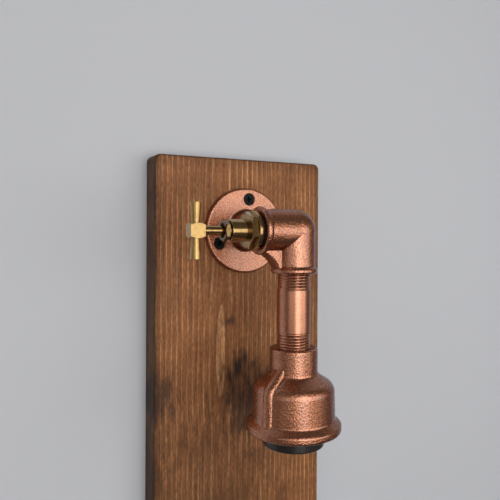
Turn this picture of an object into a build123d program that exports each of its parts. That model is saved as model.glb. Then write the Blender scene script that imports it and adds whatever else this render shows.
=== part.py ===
from build123d import *
import os
from math import pi, sqrt

# Wall lamp made of half-inch pipe fittings on a wooden board.
# Millimetres. +X is right as seen from the room, +Y goes into the wall, +Z is up.
# The origin is the centre of the board's back face, on the wall.

# Board
BOARD_WIDTH = 138.0
BOARD_HEIGHT = 300.0
BOARD_THICK = 21.0
BOARD_CORNER_R = 4.5
BOARD_EDGE_R = 2.2
BOARD_BACK_EDGE_R = 0.8
AXIS_DROP = 54.0

# Pipe and pipe thread
PIPE_R = 10.65
PIPE_BORE_R = 8.0
THREAD_R = 9.95
THREAD_PLAY = 0.1
THREAD_GRIP = 12.5
NIPPLE_END_CHAMFER = 0.8
REAR_NIPPLE_SHOWN = 29.2
REAR_THREAD_SHOWN = 3.0
DROP_NIPPLE_SHOWN = 47.1
DROP_THREAD_TOP = 11.1
DROP_THREAD_LOW = 10.2

# Floor flange
FLANGE_R = 31.75
FLANGE_THICK = 5.0
FLANGE_EDGE_R = 1.5
HUB_BASE_R = 14.6
HUB_TIP_R = 13.8
HUB_HEIGHT = 12.0
HUB_ROOT_R = 2.0
HUB_LIP_R = 1.2
FLANGE_HOLES = 3
FLANGE_PCD = 47.0
FLANGE_FIRST_ANGLE = 84.0
SINK_R = 4.8
SINK_STEP = 0.7

# Flange screws
SCREW_SHANK_R = 2.2
SCREW_HEAD_R = 4.4
SCREW_GRIP = 13.0
SCREW_TIP = 3.0
SCREW_PLAY = 0.1

# Corner elbow
PORT_REACH = 26.8
ELBOW_R = 13.4
ELBOW_BALL_EXTRA = 0.2
BEAD_R = 15.0
BEAD_LENGTH = 3.5
BEAD_ROUND = 1.5
MOUTH_CHAMFER = 0.9
WEB_THICK = 11.0
WEB_HOLLOW = 1.9
WEB_CLEAR = 0.3
WEB_ROUND = 1.5

# Reducing socket
COLLAR_R = 15.2
COLLAR_HEIGHT = 16.4
BELL_R = 25.8
BELL_SHOULDER = 23.1
BELL_FLARE = 0.5
BELL_BEAD_R = 30.3
BELL_BEAD_START = 43.9
BELL_BEAD_SLOPE = 3.4
BELL_HEIGHT = 51.9
BELL_BORE_R = 23.0
BELL_BORE_DEPTH = 22.0
SMALL_THREAD_DEPTH = 20.4
COLLAR_RIM_ROUND = 1.2
COLLAR_FOOT_ROUND = 2.5
SHOULDER_ROUND = 7.0
BELL_BEAD_ROUND = 1.8
BELL_MOUTH_ROUND = 0.8
BORE_FLOOR_ROUND = 2.0

# Tap headwork, distances along the left port's axis
BONNET_WASHER_T = 2.0
BONNET_WASHER_R = 10.4
BONNET_FLANGE_R = 12.2
BONNET_FLANGE_T = 2.1
BONNET_FLANGE_ROUND = 0.5
BONNET_HEX_AF = 20.8
BONNET_HEX_T = 4.1
BONNET_HEX_RISE = 1.3
BONNET_HEX_TURN = 13.0
BONNET_NECK_R = 6.95
BONNET_NECK_LENGTH = 11.2
BONNET_TAIL = 12.8
NECK_LIP_ROUND = 0.6
STUFFING_R = 5.0
STUFFING_DEPTH = 8.0
BONNET_GUIDE_T = 2.0
GLAND_AF = 12.0
GLAND_GAP = 0.6
GLAND_COLLAR_R = 5.7
GLAND_COLLAR_T = 0.8
GLAND_HEX_T = 2.6
GLAND_HEX_RISE = 0.8
GLAND_SHANK_LENGTH = 6.2
GLAND_DISH_R = 4.6
GLAND_DISH_DEPTH = 2.0
HEX_FACE_SHARE = 0.98
STEM_R = 2.85
RUNNING_FIT = 0.06
SCREW_BODY_R = 4.42
SCREW_BODY_LENGTH = 11.8
SPINDLE_EDGE = 0.4
SPINDLE_PITCH = 2.0
SPINDLE_TURNS = 2.25
STOP_GAP = 0.2

# Jumper
JUMPER_PIN_R = 2.0
JUMPER_PIN_LENGTH = 7.5
JUMPER_R = 6.2
JUMPER_T = 2.2
JUMPER_ROOM = 1.0
JUMPER_STUD_R = 1.6
JUMPER_WASHER_T = 3.0
JUMPER_NUT_AF = 5.5
JUMPER_NUT_T = 2.0
SWIVEL_GAP = 0.05

# Handle
HUB_GAP = 12.4
HANDLE_HUB_LENGTH = 9.0
HANDLE_HUB_SIDE = 8.8
HANDLE_HUB_CHAMFER = 1.4
HANDLE_SPAN = 33.8
ARM_ROOT_R = 2.5
ARM_TIP_R = 3.5
ARM_TIP_ROUND = 0.4
STEM_SOCKET = 7.0
GRUB_R = 1.5
GRUB_SOCKET_R = 0.8
GRUB_SOCKET_DEPTH = 1.2
GRUB_INSET = 0.2

# Lampholder, depths below the reducing socket's top
TUBE_R = 4.95
TUBE_BORE_R = 3.5
BUSH_GAP = 0.2
BUSH_SLOT_WIDTH = 3.0
BUSH_SLOT_DEPTH = 1.4
TAG_T = 0.8
TAG_R = 7.2
TAG_TAB_WIDTH = 4.0
TAG_TAB_T = 0.7
TAG_TAB_RISE = 8.0
LOCKNUT_AF = 12.8
LOCKNUT_T = 3.0
TUBE_ABOVE_NUT = 0.5
HOLDER_WASHER_T = 1.0
HOLDER_WASHER_R = 8.8
CAP_BOSS_R = 8.0
CAP_BOSS_HEIGHT = 2.0
CAP_DOME_HEIGHT = 8.0
CAP_HEIGHT = 19.0
CAP_NECK_DEPTH = 4.3
CAP_NECK_WALL = 2.0
CAP_LEDGE = 1.2
CAVITY_R = 13.5
CAVITY_WALL_HEIGHT = 2.6
MOULDED_EDGE = 0.4
MOULDED_ROUND = 1.0
CAP_DOME_ROUND = 3.0
HOLDER_R = 19.5
HOLDER_PLAY = 0.1
SKIRT_WALL = 2.0
SKIRT_DROP = 20.4
SKIRT_LIP_T = 1.5
SKIRT_LIP = 0.5
INSERT_FLOOR = 5.2
INSERT_WALL_DEPTH = 6.0
SLEEVE_R = 13.3
SLEEVE_T = 0.5
SLEEVE_LENGTH = 20.4
SLEEVE_NECK_R = 10.0
SLEEVE_SHOULDER = 3.6
CONTACT_T = 0.5
CONTACT_WIDTH = 5.0
CONTACT_DROP = 2.6
CONTACT_REACH = 5.6
CONTACT_EASE = 1.0
RIVET_R = 1.2
RIVET_OFFSET = -4.8
RIVET_HEAD = 0.8
TERMINAL_X = 8.3
TERMINAL_LENGTH = 4.6
TERMINAL_WIDTH = 5.0
TERMINAL_HEIGHT = 3.4
TERMINAL_SCREW_R = 1.2
TERMINAL_SCREW_LENGTH = 2.6

# Wiring
WIRE_R = 1.1
WIRE_SPACING = 2.7
EARTH_OFFSET = 5.4
WIRE_BACK = 9.0
BOARD_BEND_R = 7.0
ELBOW_BEND_R = 9.0
SPREAD_BEND_R = 8.0
TERMINAL_BEND_R = 2.2
WIRE_STRAIGHT = 5.0
WIRE_SPREAD = 14.0
WIRE_STRIP_DEPTH = 5.0

# Terminal block and the recess behind it
CABLE_HOLE_R = 9.0
POCKET_WIDTH = 60.0
POCKET_HEIGHT = 54.0
POCKET_DEPTH = 14.0
POCKET_CORNER_R = 4.0
POCKET_TOP = 34.0
BLOCK_POLES = 3
BLOCK_PITCH = 8.0
BLOCK_MARGIN = 2.5
BLOCK_HEIGHT = 18.0
BLOCK_DEPTH = 12.0
BLOCK_INSET = 14.0
BLOCK_HOLE_R = 1.6
CLAMP_SCREW_R = 1.7
CLAMP_SCREW_LENGTH = 4.2
CLAMP_SPACING = 9.0
FIXING_SCREW_R = 1.25
FIXING_HEAD_R = 1.9
FIXING_HEAD_T = 1.2
FIXING_BITE = 4.5
SLOT_WIDTH = 0.6
SLOT_DEPTH = 0.7

# Keyhole hanger plates
HANGER_X = 48.0
HANGER_RISE = 16.0
HANGER_LENGTH = 46.0
HANGER_WIDTH = 16.0
HANGER_T = 1.5
HANGER_PLAY = 0.1
KEYHOLE_R = 4.6
KEYHOLE_DROP = 6.0
KEYHOLE_SLOT = 4.8
KEYHOLE_TRAVEL = 13.0
RELIEF_WIDTH = 11.0
RELIEF_HEIGHT = 24.0
RELIEF_DEPTH = 11.0
HANGER_SCREW_SPACING = 34.0
HANGER_SCREW_R = 1.3
HANGER_SCREW_HEAD_R = 2.7
HANGER_SCREW_LENGTH = 12.0

# Places that follow from the sizes
axis_z = BOARD_HEIGHT / 2 - AXIS_DROP
board_front = -BOARD_THICK
flange_face = board_front - FLANGE_THICK
hub_face = flange_face - HUB_HEIGHT
corner_y = hub_face - REAR_NIPPLE_SHOWN - PORT_REACH
corner = Vector(0, corner_y, axis_z)
male_r = THREAD_R - THREAD_PLAY

# Working planes: local Z runs out of the board, out of the tap's port, and down the drop
flange_plane = Plane((0, board_front, axis_z), x_dir=(1, 0, 0), z_dir=(0, -1, 0))
tap_plane = Plane(corner, x_dir=(0, 0, 1), z_dir=(-1, 0, 0))
drop_plane = Plane(corner, x_dir=(1, 0, 0), z_dir=(0, 0, -1))
rear_plane = Plane(corner, x_dir=(1, 0, 0), z_dir=(0, 1, 0))

# Tap stations along the port's axis
bonnet_seat = PORT_REACH + BONNET_WASHER_T
hex_start = bonnet_seat + BONNET_FLANGE_T
neck_start = hex_start + BONNET_HEX_T
neck_end = neck_start + BONNET_NECK_LENGTH
tail_end = bonnet_seat - BONNET_TAIL
stuffing_floor = neck_end - STUFFING_DEPTH
guide_floor = stuffing_floor - BONNET_GUIDE_T
gland_seat = neck_end + GLAND_GAP
gland_top = gland_seat + GLAND_COLLAR_T + GLAND_HEX_T
gland_tip = gland_seat - GLAND_SHANK_LENGTH
hub_start = gland_top + HUB_GAP
hub_middle = hub_start + HANDLE_HUB_LENGTH / 2
spindle_lift = SPINDLE_PITCH * SPINDLE_TURNS
screw_top = guide_floor - spindle_lift - STOP_GAP
screw_bottom = screw_top - SCREW_BODY_LENGTH
jumper_top = screw_bottom - SWIVEL_GAP
jumper_bottom = jumper_top - JUMPER_T
chamber_floor = jumper_top + spindle_lift + JUMPER_ROOM

# Lampholder stations below the corner
socket_top = PORT_REACH + DROP_NIPPLE_SHOWN
nipple_foot = socket_top + THREAD_GRIP
bush_top = nipple_foot + BUSH_GAP
bush_foot = socket_top + SMALL_THREAD_DEPTH
tag_top = bush_top - TAG_T
nut_top = tag_top - LOCKNUT_T
tube_top = nut_top - TUBE_ABOVE_NUT
cap_top = bush_foot + HOLDER_WASHER_T
tube_foot = cap_top + CAP_NECK_DEPTH
cap_shoulder = cap_top + CAP_BOSS_HEIGHT + CAP_DOME_HEIGHT
cap_foot = cap_top + CAP_HEIGHT
insert_top = cap_shoulder + CAP_LEDGE
insert_foot = insert_top + INSERT_FLOOR
insert_rim = insert_foot + INSERT_WALL_DEPTH
skirt_foot = cap_foot + SKIRT_DROP
sleeve_outer = SLEEVE_R + SLEEVE_T
insert_inner = sleeve_outer + HOLDER_PLAY
skirt_thread_r = HOLDER_R - SKIRT_WALL
skirt_bore_r = skirt_thread_r - SKIRT_WALL
insert_r = skirt_bore_r - HOLDER_PLAY
skirt_lower_r = insert_inner + SKIRT_LIP
wire_end_depth = insert_top - TERMINAL_HEIGHT / 2

# Terminal block stations
pocket_top_z = axis_z - POCKET_TOP
pocket_z = pocket_top_z - POCKET_HEIGHT / 2
block_top_z = pocket_top_z - BLOCK_INSET
block_z = block_top_z - BLOCK_HEIGHT / 2
block_back = BLOCK_DEPTH - POCKET_DEPTH
pole_xs = [(i - (BLOCK_POLES - 1) / 2) * BLOCK_PITCH for i in range(BLOCK_POLES)]
gap_xs = [(a + b) / 2 for a, b in zip(pole_xs, pole_xs[1:])]

# Hanger stations
hanger_z = axis_z + HANGER_RISE
keyhole_z = hanger_z - KEYHOLE_DROP
hanger_xs = (-HANGER_X, HANGER_X)
hanger_screw_zs = (hanger_z - HANGER_SCREW_SPACING / 2, hanger_z + HANGER_SCREW_SPACING / 2)


def turned(points, radii=None):
    """Solid of revolution about local Z through (radius, height) points."""
    outline_points = [(r, 0, h) for r, h in points]
    if radii is None:
        outline = Polyline(*outline_points, close=True)
    else:
        outline = FilletPolyline(*outline_points, radius=radii, close=True)
    return revolve(make_face(outline), Axis.Z)


def rod(radius, start, end):
    """Cylinder on local Z between two heights."""
    return Pos(0, 0, start) * Cylinder(radius, end - start, align=(Align.CENTER, Align.CENTER, Align.MIN))


def ring(inner, outer, start, end):
    """Tube on local Z between two heights."""
    return rod(outer, start, end) - rod(inner, start, end)


def hexagon(across_flats, start, end, turn=0.0):
    """Hexagon prism on local Z, with a corner on local X when turn is 0."""
    outline = RegularPolygon(across_flats / 2, 6, major_radius=False, rotation=turn)
    return Pos(0, 0, start) * extrude(outline, end - start)


def chamfered_hexagon(across_flats, start, end, rise, turn=0.0):
    """Hexagon prism whose corners are turned down at its outer end."""
    corner_r = across_flats / sqrt(3)
    face_r = across_flats / 2 * HEX_FACE_SHARE
    wide_r = 2 * corner_r - face_r
    cone = turned([(0, start), (wide_r, start), (wide_r, end - 2 * rise), (face_r, end), (0, end)])
    return hexagon(across_flats, start, end, turn) & cone


def from_back(radius, depth_start, depth_end, x, z):
    """Cylinder along Y between two depths measured in from the board's back."""
    plane = Plane((x, 0, z), x_dir=(1, 0, 0), z_dir=(0, -1, 0))
    return plane * rod(radius, depth_start, depth_end)


def flange_spots():
    """Screw places on the flange, as local positions on its plane."""
    return PolarLocations(FLANGE_PCD / 2, FLANGE_HOLES, start_angle=FLANGE_FIRST_ANGLE)


def back_outline(sketch, depth):
    """Solid cut into the board from its back by a sketch drawn in X and Z."""
    back_plane = Plane((0, 0, 0), x_dir=(1, 0, 0), z_dir=(0, -1, 0))
    return back_plane * extrude(sketch, depth)


def hanger_outline(x, grow):
    """Round-ended outline of a hanger plate, grown all round."""
    width = HANGER_WIDTH + 2 * grow
    return Pos(x, hanger_z) * SlotOverall(HANGER_LENGTH + 2 * grow, width, rotation=90)


def back_board():
    """Solid pine board with the cable hole, wiring recess and hanger seats."""
    outline = RectangleRounded(BOARD_WIDTH, BOARD_HEIGHT, BOARD_CORNER_R)
    board = back_outline(outline, BOARD_THICK)
    front_edges = board.faces().sort_by(Axis.Y)[0].edges()
    board = fillet(front_edges, BOARD_EDGE_R)
    back_edges = board.faces().sort_by(Axis.Y)[-1].edges()
    board = fillet(back_edges, BOARD_BACK_EDGE_R)
    pocket = Pos(0, pocket_z) * RectangleRounded(POCKET_WIDTH, POCKET_HEIGHT, POCKET_CORNER_R)
    channel_height = axis_z - pocket_z
    channel = Pos(0, pocket_z + channel_height / 2) * Rectangle(2 * CABLE_HOLE_R, channel_height)
    board -= back_outline(pocket, POCKET_DEPTH)
    board -= back_outline(channel, POCKET_DEPTH)
    board -= from_back(CABLE_HOLE_R, 0, BOARD_THICK, 0, axis_z)
    for x in hanger_xs:
        board -= back_outline(hanger_outline(x, HANGER_PLAY), HANGER_T)
        relief = Pos(x, keyhole_z + KEYHOLE_TRAVEL / 2) * Rectangle(RELIEF_WIDTH, RELIEF_HEIGHT)
        board -= back_outline(relief, RELIEF_DEPTH)
        for z in hanger_screw_zs:
            board -= from_back(HANGER_SCREW_R + SCREW_PLAY, 0, HANGER_SCREW_LENGTH + SCREW_PLAY, x, z)
    fixing_depth = POCKET_DEPTH + FIXING_BITE + SCREW_PLAY
    for x in gap_xs:
        board -= from_back(FIXING_SCREW_R + SCREW_PLAY, 0, fixing_depth, x, block_z)
    pilot = rod(SCREW_SHANK_R + SCREW_PLAY, -SCREW_GRIP - SCREW_TIP, 0)
    for spot in flange_spots():
        board -= flange_plane * (spot * pilot)
    return board


def floor_flange():
    """Cast flange: round plate, tapered threaded hub, countersunk holes."""
    top = FLANGE_THICK + HUB_HEIGHT
    body = turned(
        [(0, 0), (FLANGE_R, 0), (FLANGE_R, FLANGE_THICK), (HUB_BASE_R, FLANGE_THICK),
         (HUB_TIP_R, top), (0, top)],
        [0, 0, FLANGE_EDGE_R, HUB_ROOT_R, HUB_LIP_R, 0],
    )
    body -= rod(THREAD_R, 0, top)
    sink_floor = FLANGE_THICK - SINK_STEP
    hole_r = SCREW_SHANK_R + SCREW_PLAY
    sink = turned([(0, 0), (hole_r, 0), (hole_r, sink_floor - SINK_R + hole_r), (SINK_R, sink_floor),
                   (SINK_R, FLANGE_THICK), (0, FLANGE_THICK)])
    for spot in flange_spots():
        body -= spot * sink
    return flange_plane * body


def flange_screws():
    """Three countersunk wood screws through the flange into the board."""
    head_top = FLANGE_THICK - SINK_STEP - (SINK_R - SCREW_HEAD_R) + SCREW_PLAY
    neck = head_top - SCREW_HEAD_R + SCREW_SHANK_R
    screw = turned([(0, head_top), (SCREW_HEAD_R, head_top), (SCREW_SHANK_R, neck),
                    (SCREW_SHANK_R, -SCREW_GRIP), (0, -SCREW_GRIP - SCREW_TIP)])
    return Compound([flange_plane * (spot * screw) for spot in flange_spots()])


def nipple(start, end, low_thread, high_thread):
    """Pipe length along local Z: plain middle, thread at each end, open bore."""
    tip = NIPPLE_END_CHAMFER
    body = turned([
        (PIPE_BORE_R, start), (male_r - tip, start), (male_r, start + tip), (male_r, low_thread),
        (PIPE_R, low_thread), (PIPE_R, high_thread), (male_r, high_thread),
        (male_r, end - tip), (male_r - tip, end), (PIPE_BORE_R, end),
    ])
    return body


def rear_nipple():
    """Nipple between the flange hub and the elbow's rear port."""
    shown_end = PORT_REACH + REAR_NIPPLE_SHOWN
    body = nipple(PORT_REACH - THREAD_GRIP, shown_end + THREAD_GRIP,
                  PORT_REACH + REAR_THREAD_SHOWN, shown_end - REAR_THREAD_SHOWN)
    return rear_plane * body


def drop_nipple():
    """Nipple with long threads between the elbow and the reducing socket."""
    body = nipple(PORT_REACH - THREAD_GRIP, nipple_foot,
                  PORT_REACH + DROP_THREAD_TOP, socket_top - DROP_THREAD_LOW)
    return drop_plane * body


def throat_web(plane):
    """Cast web between two ports, with a hollow free edge."""
    near = ELBOW_R + WEB_CLEAR
    far = PORT_REACH - BEAD_LENGTH / 2
    middle = (near + far) / 2 - WEB_HOLLOW / sqrt(2)
    sides = Polyline((near, far), (0, far), (0, 0), (far, 0), (far, near))
    hollow = ThreePointArc((far, near), (middle, middle), (near, far))
    web = extrude(make_face(sides.edges() + hollow.edges()), WEB_THICK / 2, both=True)
    free_edges = web.edges().filter_by(GeomType.CIRCLE)
    return plane * fillet(free_edges, WEB_ROUND)


def corner_elbow():
    """Three-way corner elbow: ports to the wall, to the left and down."""
    bead_start = PORT_REACH - BEAD_LENGTH
    step = BEAD_R - ELBOW_R
    port = turned(
        [(0, 0), (ELBOW_R, 0), (ELBOW_R, bead_start - step / 2), (BEAD_R, bead_start + step / 2),
         (BEAD_R, PORT_REACH), (0, PORT_REACH)],
        [0, 0, BEAD_ROUND, BEAD_ROUND, BEAD_ROUND, 0],
    )
    bore = rod(THREAD_R, 0, PORT_REACH)
    mouth = turned([(0, PORT_REACH - MOUTH_CHAMFER), (THREAD_R, PORT_REACH - MOUTH_CHAMFER),
                    (THREAD_R + MOUTH_CHAMFER, PORT_REACH), (0, PORT_REACH)])
    ports = (tap_plane, drop_plane, rear_plane)
    body = Pos(*corner) * Sphere(ELBOW_R + ELBOW_BALL_EXTRA)
    for plane in ports:
        body += plane * port
    body += throat_web(Plane(corner, x_dir=(-1, 0, 0), z_dir=(0, -1, 0)))
    body += throat_web(Plane(corner, x_dir=(-1, 0, 0), z_dir=(0, 0, -1)))
    body += throat_web(Plane(corner, x_dir=(0, 1, 0), z_dir=(-1, 0, 0)))
    body -= Pos(*corner) * Sphere(THREAD_R + ELBOW_BALL_EXTRA)
    for plane in ports:
        body -= plane * bore
        body -= plane * mouth
    return body


def reducing_socket():
    """Bell-shaped reducing socket, open below, threaded on the nipple above."""
    top = socket_top
    mouth = top + BELL_HEIGHT
    bead = top + BELL_BEAD_START
    body = turned(
        [(THREAD_R, top), (COLLAR_R, top), (COLLAR_R, top + COLLAR_HEIGHT), (BELL_R, top + BELL_SHOULDER),
         (BELL_R + BELL_FLARE, bead), (BELL_BEAD_R, bead + BELL_BEAD_SLOPE), (BELL_BEAD_R, mouth),
         (BELL_BORE_R, mouth), (BELL_BORE_R, mouth - BELL_BORE_DEPTH), (THREAD_R, top + SMALL_THREAD_DEPTH)],
        [0, COLLAR_RIM_ROUND, COLLAR_FOOT_ROUND, SHOULDER_ROUND, BELL_BEAD_ROUND, BELL_BEAD_ROUND,
         BELL_BEAD_ROUND, BELL_MOUTH_ROUND, BORE_FLOOR_ROUND, 0],
    )
    return drop_plane * body


def bonnet_washer():
    """Fibre washer between the bonnet's hexagon and the port's face."""
    return tap_plane * ring(male_r + THREAD_PLAY, BONNET_WASHER_R, PORT_REACH, bonnet_seat)


def tap_bonnet():
    """Brass bonnet: threaded tail, flange, hexagon, neck, stuffing box, spindle thread."""
    body = turned(
        [(0, tail_end), (male_r, tail_end), (male_r, bonnet_seat), (BONNET_FLANGE_R, bonnet_seat),
         (BONNET_FLANGE_R, hex_start), (0, hex_start)],
        [0, 0, 0, BONNET_FLANGE_ROUND, BONNET_FLANGE_ROUND, 0],
    )
    body += chamfered_hexagon(BONNET_HEX_AF, hex_start, neck_start, BONNET_HEX_RISE, BONNET_HEX_TURN)
    neck = turned(
        [(0, hex_start), (BONNET_NECK_R, hex_start), (BONNET_NECK_R, neck_end), (0, neck_end)],
        [0, 0, NECK_LIP_ROUND, 0],
    )
    body += neck
    body -= rod(STUFFING_R, stuffing_floor, neck_end)
    body -= rod(STEM_R + RUNNING_FIT, guide_floor, stuffing_floor)
    body -= rod(SCREW_BODY_R + RUNNING_FIT, chamber_floor, guide_floor)
    body -= rod(JUMPER_R + JUMPER_ROOM, tail_end, chamber_floor)
    return tap_plane * body


def gland_nut():
    """Brass gland nut: dished hexagon head, round collar, shank in the stuffing box."""
    hex_foot = gland_top - GLAND_HEX_T
    body = chamfered_hexagon(GLAND_AF, hex_foot, gland_top, GLAND_HEX_RISE)
    body += rod(GLAND_COLLAR_R, gland_seat, hex_foot)
    body += rod(STUFFING_R - THREAD_PLAY, gland_tip, gland_seat)
    dish_floor = gland_top - GLAND_DISH_DEPTH
    dish_r = STEM_R + GLAND_DISH_DEPTH / 2
    body -= turned([(0, dish_floor), (dish_r, dish_floor), (GLAND_DISH_R, gland_top), (0, gland_top)])
    body -= rod(STEM_R + RUNNING_FIT, gland_tip, gland_top)
    return tap_plane * body


def gland_packing():
    """Packing ring squeezed round the spindle by the gland nut."""
    return tap_plane * ring(STEM_R + RUNNING_FIT, STUFFING_R - THREAD_PLAY, stuffing_floor, gland_tip)


def tap_spindle():
    """Brass spindle: screw body in the bonnet, stem through the gland."""
    stem_end = hub_start + STEM_SOCKET
    body = turned(
        [(0, screw_bottom), (SCREW_BODY_R, screw_bottom), (SCREW_BODY_R, screw_top), (STEM_R, screw_top),
         (STEM_R, stem_end), (0, stem_end)],
        [0, SPINDLE_EDGE, SPINDLE_EDGE, 0, SPINDLE_EDGE, 0],
    )
    body -= rod(JUMPER_PIN_R + RUNNING_FIT, screw_bottom, screw_bottom + JUMPER_PIN_LENGTH)
    return tap_plane * body


def tap_jumper():
    """Brass jumper: pin that swivels in the spindle, disc, stud for the washer."""
    stud_end = jumper_bottom - JUMPER_WASHER_T - JUMPER_NUT_T
    body = rod(JUMPER_R, jumper_bottom, jumper_top)
    body += rod(JUMPER_PIN_R, jumper_top, jumper_top + JUMPER_PIN_LENGTH)
    body += rod(JUMPER_STUD_R, stud_end, jumper_bottom)
    return tap_plane * body


def jumper_washer():
    """Rubber washer under the jumper's disc."""
    start = jumper_bottom - JUMPER_WASHER_T
    return tap_plane * ring(JUMPER_STUD_R + THREAD_PLAY, JUMPER_R, start, jumper_bottom)


def jumper_nut():
    """Nut that holds the washer on the jumper."""
    start = jumper_bottom - JUMPER_WASHER_T - JUMPER_NUT_T
    end = jumper_bottom - JUMPER_WASHER_T
    body = hexagon(JUMPER_NUT_AF, start, end) - rod(JUMPER_STUD_R + THREAD_PLAY, start, end)
    return tap_plane * body


def tap_handle():
    """Brass T-bar: square hub with turned-down corners and two tapered arms."""
    half_hub = HANDLE_HUB_SIDE / 2
    half_span = HANDLE_SPAN / 2
    corner_r = half_hub * sqrt(2) + HANDLE_HUB_CHAMFER / 2
    block = Box(HANDLE_HUB_SIDE, HANDLE_HUB_LENGTH, HANDLE_HUB_SIDE)
    block &= turned([(0, -half_hub), (half_hub, -half_hub), (corner_r, -half_hub + HANDLE_HUB_CHAMFER),
                     (corner_r, half_hub - HANDLE_HUB_CHAMFER), (half_hub, half_hub), (0, half_hub)])
    arms = turned(
        [(0, -half_span), (ARM_TIP_R, -half_span), (ARM_ROOT_R, -half_hub), (ARM_ROOT_R, half_hub),
         (ARM_TIP_R, half_span), (0, half_span)],
        [0, ARM_TIP_ROUND, 0, 0, ARM_TIP_ROUND, 0],
    )
    bar_plane = Plane((0, 0, hub_middle), x_dir=(0, 1, 0), z_dir=(1, 0, 0))
    body = bar_plane * (block + arms)
    body -= rod(STEM_R + THREAD_PLAY, hub_start, hub_start + STEM_SOCKET + THREAD_PLAY)
    body -= grub_plane() * rod(GRUB_R + THREAD_PLAY, STEM_R, half_hub)
    return tap_plane * body


def grub_plane():
    """Plane of the grub screw, on the hub's side towards the wall."""
    return Plane((0, 0, hub_start + STEM_SOCKET / 2), x_dir=(1, 0, 0), z_dir=(0, 1, 0))


def handle_screw():
    """Socket grub screw that holds the handle on the stem."""
    end = HANDLE_HUB_SIDE / 2 - GRUB_INSET
    body = rod(GRUB_R, STEM_R + THREAD_PLAY / 2, end)
    body -= hexagon(2 * GRUB_SOCKET_R, end - GRUB_SOCKET_DEPTH, end)
    return tap_plane * (grub_plane() * body)


def adapter_bush():
    """Threaded bush in the socket's neck, with a spanner slot below."""
    body = ring(TUBE_R + THREAD_PLAY, male_r, bush_top, bush_foot)
    slot = Box(2 * male_r, BUSH_SLOT_WIDTH, 2 * BUSH_SLOT_DEPTH)
    body -= Pos(0, 0, bush_foot) * slot
    return drop_plane * body


def earth_tag():
    """Ring tag under the lock nut, with a tab bent up for the earth wire."""
    body = ring(TUBE_R + THREAD_PLAY, TAG_R, tag_top, bush_top)
    tab_y = EARTH_OFFSET + WIRE_R + THREAD_PLAY / 2 + TAG_TAB_T / 2
    tab_top = tag_top - TAG_TAB_RISE
    tab = Box(TAG_TAB_WIDTH, TAG_TAB_T, bush_top - tab_top, align=(Align.CENTER, Align.CENTER, Align.MIN))
    body += Pos(0, tab_y, tab_top) * tab
    return drop_plane * body


def holder_locknut():
    """Thin nut on the threaded tube."""
    body = hexagon(LOCKNUT_AF, nut_top, tag_top) - rod(TUBE_R + THREAD_PLAY, nut_top, tag_top)
    return drop_plane * body


def holder_tube():
    """Hollow threaded tube that carries the lampholder and the wires."""
    return drop_plane * ring(TUBE_BORE_R, TUBE_R, tube_top, tube_foot)


def holder_washer():
    """Plain washer between the bush and the lampholder's cap."""
    return drop_plane * ring(TUBE_R + THREAD_PLAY, HOLDER_WASHER_R, bush_foot, cap_top)


def holder_cap():
    """Domed upper shell of the lampholder."""
    boss_foot = cap_top + CAP_BOSS_HEIGHT
    bore = TUBE_R + THREAD_PLAY
    inner_r = skirt_thread_r + HOLDER_PLAY
    body = turned(
        [(bore, cap_top), (CAP_BOSS_R, cap_top), (CAP_BOSS_R, boss_foot), (HOLDER_R, cap_shoulder),
         (HOLDER_R, cap_foot), (inner_r, cap_foot), (inner_r, insert_top), (CAVITY_R, insert_top),
         (CAVITY_R, insert_top - CAVITY_WALL_HEIGHT), (bore + CAP_NECK_WALL, tube_foot), (bore, tube_foot)],
        [0, MOULDED_EDGE, MOULDED_ROUND, CAP_DOME_ROUND, MOULDED_EDGE, 0, 0, 0, MOULDED_ROUND, 0, 0],
    )
    return drop_plane * body


def holder_insert():
    """Ceramic insert: floor with a rivet hole, wall round the screw sleeve."""
    body = rod(insert_r, insert_top, insert_rim) - rod(insert_inner, insert_foot, insert_rim)
    body -= Pos(0, RIVET_OFFSET, 0) * rod(RIVET_R + THREAD_PLAY, insert_top, insert_foot)
    return drop_plane * body


def holder_terminals():
    """Two brass terminal blocks on top of the insert."""
    top = insert_top - TERMINAL_HEIGHT
    outline = RectangleRounded(TERMINAL_LENGTH, TERMINAL_WIDTH, MOULDED_EDGE)
    block = Pos(0, 0, top) * extrude(outline, TERMINAL_HEIGHT)
    block -= rod(TERMINAL_SCREW_R + THREAD_PLAY, top, insert_top)
    return Compound([drop_plane * (Pos(x, 0, 0) * block) for x in (-TERMINAL_X, TERMINAL_X)])


def holder_terminal_screws():
    """Slotted screws of the lampholder's terminals."""
    start = insert_top - TERMINAL_HEIGHT
    screw = rod(TERMINAL_SCREW_R, start, start + TERMINAL_SCREW_LENGTH)
    screw -= Pos(0, 0, start) * Box(2 * TERMINAL_SCREW_R, SLOT_WIDTH, 2 * SLOT_DEPTH)
    return Compound([drop_plane * (Pos(x, 0, 0) * screw) for x in (-TERMINAL_X, TERMINAL_X)])


def thread_sleeve():
    """Screw sleeve for the bulb's cap, drawn in to a neck under the insert's floor."""
    top = insert_foot
    shoulder = top + SLEEVE_SHOULDER
    foot = top + SLEEVE_LENGTH
    neck_outer = SLEEVE_NECK_R + SLEEVE_T
    ledge = shoulder + SLEEVE_T
    body = turned([(SLEEVE_NECK_R, top), (neck_outer, top), (neck_outer, shoulder), (sleeve_outer, shoulder),
                   (sleeve_outer, foot), (SLEEVE_R, foot), (SLEEVE_R, ledge), (SLEEVE_NECK_R, ledge)])
    return drop_plane * body


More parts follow.
